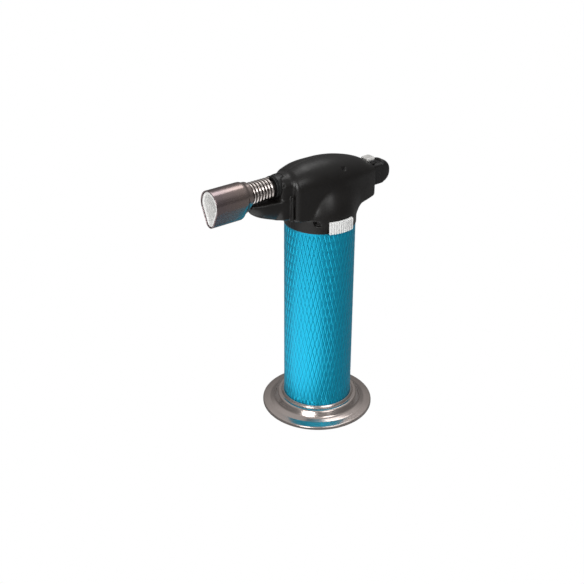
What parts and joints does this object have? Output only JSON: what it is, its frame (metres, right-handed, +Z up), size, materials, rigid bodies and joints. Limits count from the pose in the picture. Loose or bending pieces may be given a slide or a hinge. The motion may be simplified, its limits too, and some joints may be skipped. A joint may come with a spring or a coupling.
{
  "type": "butane torch",
  "caption": "Free-standing refillable butane torch with a horizontal burner, ribbed flow lever, push trigger with lock, and a round metal base",
  "frame": {"origin": "centre of the underside of the base, on the surface that the torch stands on", "axes": "+Z up the tank, +X the way the flame points, +Y the torch's left side, where the flow lever is"},
  "size_m": [0.1146, 0.0624, 0.1504],
  "materials": {
    "steel": "zinc plated",
    "rubber": "matt black",
    "polished_base": "polished with a warm tone",
    "ceramic": "white, fired",
    "guard_steel": "heat tinted stainless steel",
    "white_plastic": "white",
    "tank": "drawn, uncoated",
    "hose_rubber": "black",
    "brass": "turned",
    "coil_steel": "bright spring wire",
    "lead_skin": "red insulation",
    "milky_plastic": "milky white",
    "spring_steel": "spring wire",
    "black_bushing": "matt black",
    "piezo_plastic": "moulded",
    "black_shell": "satin black",
    "blue_sleeve": "diamond cut and anodised cyan blue",
    "black_trigger": "satin black",
    "grey_plastic": "moulded acetal"
  },
  "bodies": {
    "torch": {"base_nut": "steel", "base_pad": "rubber", "base_stand": "polished_base", "burner_tube": "steel", "ceramic_liner": "ceramic", "electrode": "steel", "electrode_insulator": "ceramic", "flame_guard": "guard_steel", "flame_holder": "steel", "fuel_tank": "tank", "gas_hose": "hose_rubber", "gas_jet": "brass", "heat_coil": "coil_steel", "ignition_lead": "lead_skin", "jet_holder": "brass", "lever_pin": "steel", "lock_spring": "spring_steel", "neck_bushing": "black_bushing", "pickup_tube": "grey_plastic", "piezo_body": "piezo_plastic", "refill_retainer": "brass", "refill_seal": "hose_rubber", "refill_spring": "spring_steel", "refill_valve_body": "brass", "shell_left": "black_shell", "shell_right": "black_shell", "shell_screws": "steel", "tank_cap": "tank", "tank_seal": "hose_rubber", "tank_sleeve": "blue_sleeve", "trigger_spring": "spring_steel", "valve_body": "brass", "valve_outlet": "brass", "valve_plug": "brass", "valve_spring": "spring_steel"},
    "trigger": {"trigger": "black_trigger", "piezo_plunger": "grey_plastic"},
    "valve_lever": {"valve_lever": "grey_plastic"},
    "valve_stem": {"valve_stem": "steel"},
    "flow_lever": {"flow_lever": "white_plastic"},
    "lock_button": {"lock_button": "milky_plastic"},
    "refill_stem": {"refill_stem": "brass"}
  },
  "joints": [
    {"name": "trigger_slide", "type": "slide", "parent": "torch", "child": "trigger", "axis": [1, 0, 0], "range_m": [0, 0.004], "stiffness_N_per_m": 1500, "springref_m": -0.002, "deforming": ["trigger_spring"]},
    {"name": "valve_lever_hinge", "type": "hinge", "parent": "torch", "child": "valve_lever", "pos_m": [0.008, 0, 0.1234], "axis": [0, 1, 0], "range_deg": [0, 6]},
    {"name": "valve_stem_slide", "type": "slide", "parent": "torch", "child": "valve_stem", "axis": [0, 0, 1], "range_m": [0, 0.0009], "deforming": ["valve_spring"]},
    {"name": "flow_lever_hinge", "type": "hinge", "parent": "torch", "child": "flow_lever", "pos_m": [0, 0, 0.1163], "axis": [0, 0, 1], "range_deg": [-14, 14]},
    {"name": "lock_slide", "type": "slide", "parent": "torch", "child": "lock_button", "axis": [0, 0, -1], "range_m": [0, 0.001], "stiffness_N_per_m": 400, "springref_m": -0.0008, "deforming": ["lock_spring"]},
    {"name": "refill_slide", "type": "slide", "parent": "torch", "child": "refill_stem", "axis": [0, 0, 1], "range_m": [0, 0.0016], "stiffness_N_per_m": 500, "springref_m": -0.001, "deforming": ["refill_spring"]}
  ],
  "couplings": [
    {"joint": "valve_lever_hinge", "follows": "trigger_slide", "rad_per_m": 25},
    {"joint": "valve_stem_slide", "follows": "trigger_slide", "ratio": 0.2}
  ]
}
